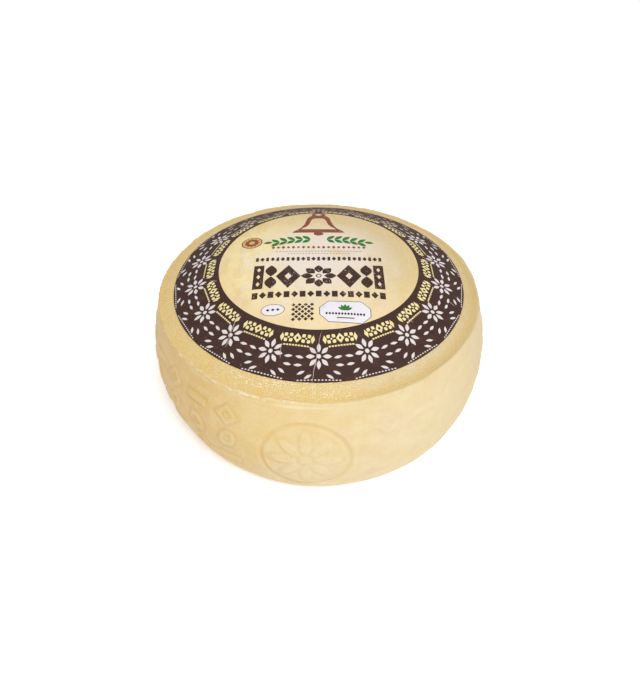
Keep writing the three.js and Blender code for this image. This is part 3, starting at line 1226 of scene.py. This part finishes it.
bead_bump = cheese.bump(dome * here["shoulder"], 0.3 * MM)
cloth_bump = cheese.bump(weave + mesh_print * 0.5, 0.14 * MM, bead_bump)
rind_bump = cheese.bump(grain * 0.4 + skin + rubbed_skin * 0.5, 0.2 * MM, cloth_bump)
cheese.wear(Base_Color=rind, Normal=rind_bump, Roughness=0.42 + 0.2 * skin - 0.14 * bead_tops)
cheese.wear(Subsurface_Weight=0.1, Subsurface_Radius=(1.0, 0.7, 0.35), Subsurface_Scale=3 * MM)
cheese.wear(Specular_IOR_Level=0.32)
wheel.data.materials.append(cheese.block)
print("the cheese's material has", len(cheese.tree.nodes), "nodes")

# %% [markdown]
# ## The printed paper
#
# Every triangle of the label knows its ink, so one material serves the whole print, where a
# material for each ink would be ten. The bare paper is mottled like the cheese that it lies on, with
# faint upright streaks, a chalky foot and a duller right side, and its middle gets a pale painted
# sheen.

# %% The bare paper
PAPER = tone(255, 235, 174)
PAPER_DEEP = tone(233, 199, 131)
PAPER_DULL = tone(216, 196, 156)
PAPER_PALE = tone(241, 230, 222)
PAPER_SPECK = tone(198, 172, 128)

paper = Finish("printed_paper")
dull_here = paper.attribute("dull")
chalky_here = paper.attribute("chalky")
mottle = paper.noise(13 * MM, 5, (1, 0.5, 1), 0.62).between(0.44, 0.66)
fine_mottle = paper.noise(4 * MM, 4).between(0.4, 0.7)
streaks = paper.noise(3.2 * MM, 4, (1, 0.12, 1), 0.6).between(0.52, 0.68)
paper_grain = paper.noise(1.4 * MM, 3, roughness=0.6).between(0.42, 0.66)
from_middle = paper.distance((1, 1.1, 0))
near_ring = from_middle.between(72 * MM, 100 * MM)
cloudy = paper.noise(30 * MM, 3).between(0.2, 0.5)
# painted sheen: a pale cloudy patch over the middle of the label
sheen_middle = (1 - from_middle.between(24 * MM, 88 * MM)) * cloudy

bare = paper.layers(
    PAPER,
    (dull_here * 0.8, PAPER_DULL),
    (mottle * (0.58 - 0.2 * dull_here), PAPER_DEEP),
    (streaks * (0.62 - 0.44 * dull_here), PAPER_PALE),
    (fine_mottle * 0.2, PAPER_DULL),
    (paper_grain * (0.12 + 0.26 * dull_here), PAPER_SPECK),
    # painted sheen in the middle
    (sheen_middle * 0.82, PAPER_PALE),
    (chalky_here * 0.3, PAPER_PALE),
    (near_ring * 0.3, PAPER_DEEP),
)
print("the bare paper takes", len(paper.tree.nodes), "nodes")

# %% [markdown]
# The ink's alpha says whether a triangle is inked. Taking flecks away from it wears the ink, more in
# the middle of the label than on its ring. At the back the ink has aged: multiplying by a warm tone
# darkens and browns it, and a coat of plain brown takes the last contrast away.

# %% The ink on it, and its wear
INK_CLOUD = tone(132, 88, 66)
AGED_TINT = tone(196, 156, 116)
AGED_BROWN = tone(106, 80, 66)

ink_colour = paper.attribute("ink", "Color")
ink_cover = paper.attribute("ink", "Alpha")
aged_here = paper.attribute("aged")
flecks = paper.noise(1.5 * MM, 3, roughness=0.7).between(0.6, 0.66)
rubbed = paper.noise(22 * MM, 2).between(0.4, 0.7)
worn_patches = paper.noise(15 * MM, 2).between(0.46, 0.6)
worn_middle = (1 - from_middle.between(84 * MM, 90 * MM)) * (0.2 + 0.6 * worn_patches)
ink_left = ink_cover - flecks * (rubbed * 0.3 + worn_middle)
ink_clouds = paper.noise(9 * MM, 3).between(0.5, 0.75)
aged_ink = paper.noise(7 * MM, 3).between(0.3, 0.7) * 0.3 + 0.7

printed = paper.blend(ink_left.between(0, 1), bare, ink_colour)
printed = paper.blend(ink_clouds * ink_cover * 0.14, printed, INK_CLOUD)
printed = paper.blend(aged_here * ink_cover * aged_ink, printed, AGED_TINT, "MULTIPLY")
printed = paper.blend(aged_here * ink_cover * 0.35, printed, AGED_BROWN)
print("with its ink the paper takes", len(paper.tree.nodes), "nodes")

# %% The paper's gloss and fine relief
fibre = paper.noise(0.8 * MM, 3)
cockle = paper.noise(11 * MM, 3)
paper_bump = paper.bump(fibre * 0.2 + cockle, 0.22 * MM)
paper.wear(Base_Color=printed, Normal=paper_bump, Roughness=0.5 + 0.16 * cockle)
paper.wear(Specular_IOR_Level=0.12)
label.data.materials.append(paper.block)
print("the label's material has", len(paper.tree.nodes), "nodes")

# %% [markdown]
# ## Ride and replace
#
# Both pieces stand for a imported node and keep its place. A row without joints has one body, root.

# %% Tie the pieces to the imported model
for piece, node, finish_slot in ((wheel, "cheese_wheel", "cheese"), (label, "label", "label")):
    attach(piece, "root")
    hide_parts(node)
    print(piece.name, "replaces", node)

# %% [markdown]
# ## The studio
#
# The wheel stands on a white sweep, wide enough to fill the view. A plain plane does, because no
# edge or corner of it shows. It shines faintly by itself, as a lit sweep does, so that the shadow on
# it stays light.

# %% The floor
FLOOR_SIZE = 12.0
half = FLOOR_SIZE / 2
corners = np.array([(-half, -half, 0), (half, -half, 0), (half, half, 0), (-half, half, 0)])
floor = add_piece("studio_floor", corners, [(0, 1, 2, 3)])
sweep = Finish("white_sweep")
sweep.wear(Base_Color=(0.62, 0.62, 0.62, 1), Roughness=0.9, Specular_IOR_Level=0.1)
sweep.wear(Emission_Color=(1, 1, 1, 1), Emission_Strength=0.5)
floor.data.materials.append(sweep.block)
print("the floor is", FLOOR_SIZE, "m wide")

# %% [markdown]
# The sky is an even white that fills the shadows. A camera ray sees it brighter than the light that
# it gives, so that the background stays white in a low view without washing out the cheese.

# %% The sky
SKY_LIGHT = 0.45
SKY_SEEN = 1.0
sky = Finish("studio_sky", "worlds", "Background")
looked_at = sky.node("ShaderNodeLightPath", out="Is Camera Ray")
levels = {"Value": looked_at, "To Min": SKY_LIGHT, "To Max": SKY_SEEN}
sky.wear(Color=(1, 1, 1, 1), Strength=sky.node("ShaderNodeMapRange", None, levels))
bpy.context.scene.world = sky.block
print("the sky gives", SKY_LIGHT, "and looks", SKY_SEEN)

# %% [markdown]
# One broad light stands high at the front right. A lamp near the wheel would fall off across the
# floor and leave it grey at the back. A sun is equally strong everywhere, and a wide one keeps the
# shadows soft.

# %% The broad light
KEY_BEARING = math.radians(27)
KEY_HEIGHT = math.radians(60)
KEY_STRENGTH = 1.92
KEY_WIDTH = math.radians(18)

key_data = bpy.data.lights.new("broad_light", "SUN")
key_data.energy = KEY_STRENGTH
key_data.angle = KEY_WIDTH
key = bpy.data.objects.new("broad_light", key_data)
level = math.cos(KEY_HEIGHT)
key_from = Vector((level * math.sin(KEY_BEARING), -level * math.cos(KEY_BEARING), 0))
key_from.z = math.sin(KEY_HEIGHT)
key.rotation_euler = key_from.to_track_quat("Z", "Y").to_euler()
key.location = key_from
bpy.context.scene.collection.objects.link(key)
bpy.context.scene.view_settings.view_transform = "Standard"
print("the light comes from", [round(v, 2) for v in key_from])

# %% [markdown]
# ## The camera
#
# The photograph was taken from the front, looking down by about 42 degrees from two thirds of a
# metre. The focal length was found in pixels, and the sensor's 36 mm span the picture's long side.
# A camera could track an empty, but a fixed rotation is all that one still view needs.

# %% The camera
PHOTO_LONG_SIDE = 691
FOCAL_PIXELS = 612
ELEVATION = math.radians(42.18)
CAMERA_DISTANCE = 660.6 * MM
AIM_HEIGHT = 30.6 * MM
AIM_RIGHT = 1.4 * MM

camera_data = bpy.data.cameras.new("photo_camera")
camera = bpy.data.objects.new("photo_camera", camera_data)
bpy.context.scene.collection.objects.link(camera)
camera_data.sensor_width = 36
camera_data.lens = camera_data.sensor_width * FOCAL_PIXELS / PHOTO_LONG_SIDE
back = CAMERA_DISTANCE * math.cos(ELEVATION)
rise = CAMERA_DISTANCE * math.sin(ELEVATION)
camera.location = axis_foot + Vector((0, -back, AIM_HEIGHT + rise))
aim = axis_foot + Vector((AIM_RIGHT, 0, AIM_HEIGHT))
camera.rotation_euler = (aim - camera.location).to_track_quat("-Z", "Y").to_euler()
bpy.context.scene.camera = camera
print("lens", round(camera_data.lens, 2), "mm")
